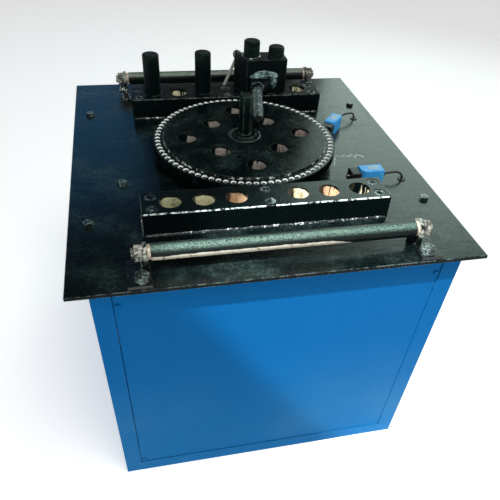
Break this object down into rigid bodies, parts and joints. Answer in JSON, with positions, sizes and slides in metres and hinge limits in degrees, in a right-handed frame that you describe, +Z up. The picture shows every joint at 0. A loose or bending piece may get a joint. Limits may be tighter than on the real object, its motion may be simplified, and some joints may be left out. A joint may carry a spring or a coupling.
{
  "type": "rebar bender",
  "caption": "Powered reinforcing-bar bending machine: a rotating pin disc between drilled backing bars on a steel table, over a closed sheet-metal cabinet.",
  "frame": {"origin": "on the floor under the turntable's axis, which is also the centre of the table plate", "axes": "+Z up, +X to the operator's right along the backing bars, +Y away from the operator"},
  "size_m": [0.85, 0.945, 0.878],
  "materials": {
    "plate_black": "gloss black enamel, scuffed",
    "cabinet_blue": "gloss blue enamel",
    "bare_steel": "bare, worn",
    "dark_steel": "oiled dark",
    "zinc_screw": "dull zinc",
    "cast_grey": "as cast, grey primer",
    "bearing_steel": "ground",
    "belt_rubber": "matte",
    "lead_rubber": "matte",
    "motor_grey": "cast, painted grey",
    "switch_blue": "satin",
    "black_plastic": "matte",
    "bush_bronze": "plain",
    "box_grey": "satin"
  },
  "bodies": {
    "machine": {"bar_bolts": "dark_steel", "bearing_housing": "cast_grey", "bottom_rails": "cabinet_blue", "control_box": "box_grey", "corner_posts": "cabinet_blue", "drive_belts": "belt_rubber", "fan_cowl": "motor_grey", "front_bar": "plate_black", "front_panel": "cabinet_blue", "front_switch_lead": "lead_rubber", "gearbox_cover": "cast_grey", "gearbox_housing": "cast_grey", "guard_ring": "plate_black", "lead_grommets": "lead_rubber", "machine_beams": "cabinet_blue", "main_bearings": "bearing_steel", "motor_casing": "motor_grey", "panel_screws": "zinc_screw", "panel_tabs": "cabinet_blue", "rear_bar": "plate_black", "rear_panel": "cabinet_blue", "rear_switch_lead": "lead_rubber", "roller_lugs": "plate_black", "roller_nuts": "dark_steel", "roller_rods": "dark_steel", "roller_spacers": "bare_steel", "side_panels": "cabinet_blue", "supply_gland": "black_plastic", "switch_bodies": "switch_blue", "switch_glands": "black_plastic", "switch_heads": "black_plastic", "table_bolts": "plate_black", "table_plate": "plate_black", "top_rails": "cabinet_blue"},
    "turntable_body": {"turntable": "plate_black", "main_shaft": "dark_steel", "bull_gear": "dark_steel"},
    "gearbox_output": {"gearbox_shaft": "dark_steel", "pinion": "dark_steel", "worm_wheel": "bush_bronze"},
    "worm_body": {"worm_shaft": "dark_steel", "driven_pulley": "cast_grey"},
    "motor_rotor": {"motor_shaft": "dark_steel", "motor_pulley": "cast_grey", "motor_fan": "black_plastic"},
    "front_roller": {"front_roller_tube": "plate_black", "front_roller_bushes": "bush_bronze"},
    "rear_roller": {"rear_roller_tube": "plate_black", "rear_roller_bushes": "bush_bronze"},
    "outer_pin": {"rear_pin_outer": "plate_black"},
    "second_pin": {"rear_pin_second": "plate_black"},
    "post": {"centre_post": "plate_black"},
    "stop": {"stop_block": "plate_black", "stop_pins": "plate_black"},
    "stop_screw": {"adjusting_screw": "dark_steel"},
    "clamp": {"clamp_stud": "dark_steel", "tommy_bar": "bare_steel"},
    "front_plunger": {"front_switch_plunger": "zinc_screw"},
    "rear_plunger": {"rear_switch_plunger": "zinc_screw"}
  },
  "joints": [
    {"name": "turntable_spin", "type": "hinge", "parent": "machine", "child": "turntable_body", "pos_m": [0, 0, 0.7295], "axis": [0, 0, 1], "continuous": true},
    {"name": "gearbox_output_spin", "type": "hinge", "parent": "machine", "child": "gearbox_output", "pos_m": [0, 0.204, 0.25], "axis": [0, 0, 1], "continuous": true},
    {"name": "worm_spin", "type": "hinge", "parent": "machine", "child": "worm_body", "pos_m": [0, 0.299, 0.185], "axis": [1, 0, 0], "continuous": true},
    {"name": "motor_spin", "type": "hinge", "parent": "machine", "child": "motor_rotor", "pos_m": [0, -0.15, 0.185], "axis": [1, 0, 0], "continuous": true},
    {"name": "front_roller_spin", "type": "hinge", "parent": "machine", "child": "front_roller", "pos_m": [0.005, -0.412, 0.73], "axis": [1, 0, 0], "continuous": true},
    {"name": "rear_roller_spin", "type": "hinge", "parent": "machine", "child": "rear_roller", "pos_m": [0, 0.412, 0.73], "axis": [1, 0, 0], "continuous": true},
    {"name": "outer_pin_lift", "type": "slide", "parent": "machine", "child": "outer_pin", "axis": [0, 0, 1], "range_m": [0, 0.12]},
    {"name": "second_pin_lift", "type": "slide", "parent": "machine", "child": "second_pin", "axis": [0, 0, 1], "range_m": [0, 0.12]},
    {"name": "post_lift", "type": "slide", "parent": "turntable_body", "child": "post", "axis": [0, 0, 1], "range_m": [0, 0.06]},
    {"name": "stop_lift", "type": "slide", "parent": "machine", "child": "stop", "axis": [0, 0, 1], "range_m": [0, 0.12]},
    {"name": "stop_screw_travel", "type": "slide", "parent": "stop", "child": "stop_screw", "axis": [0.1994, 0.9799, 0], "range_m": [-0.015, 0]},
    {"name": "clamp_turn", "type": "hinge", "parent": "stop", "child": "clamp", "pos_m": [0.0425, 0.331, 0.818], "axis": [0, 1, 0], "range_deg": [-60, 60]},
    {"name": "front_plunger_press", "type": "slide", "parent": "machine", "child": "front_plunger", "axis": [1, 0, 0], "range_m": [0, 0.005], "stiffness_N_per_m": 500, "springref_m": -0.004},
    {"name": "rear_plunger_press", "type": "slide", "parent": "machine", "child": "rear_plunger", "axis": [0.6428, 0.766, 0], "range_m": [0, 0.005], "stiffness_N_per_m": 500, "springref_m": -0.004}
  ],
  "couplings": [
    {"joint": "gearbox_output_spin", "follows": "turntable_spin", "ratio": -3},
    {"joint": "motor_spin", "follows": "worm_spin", "ratio": 2}
  ]
}
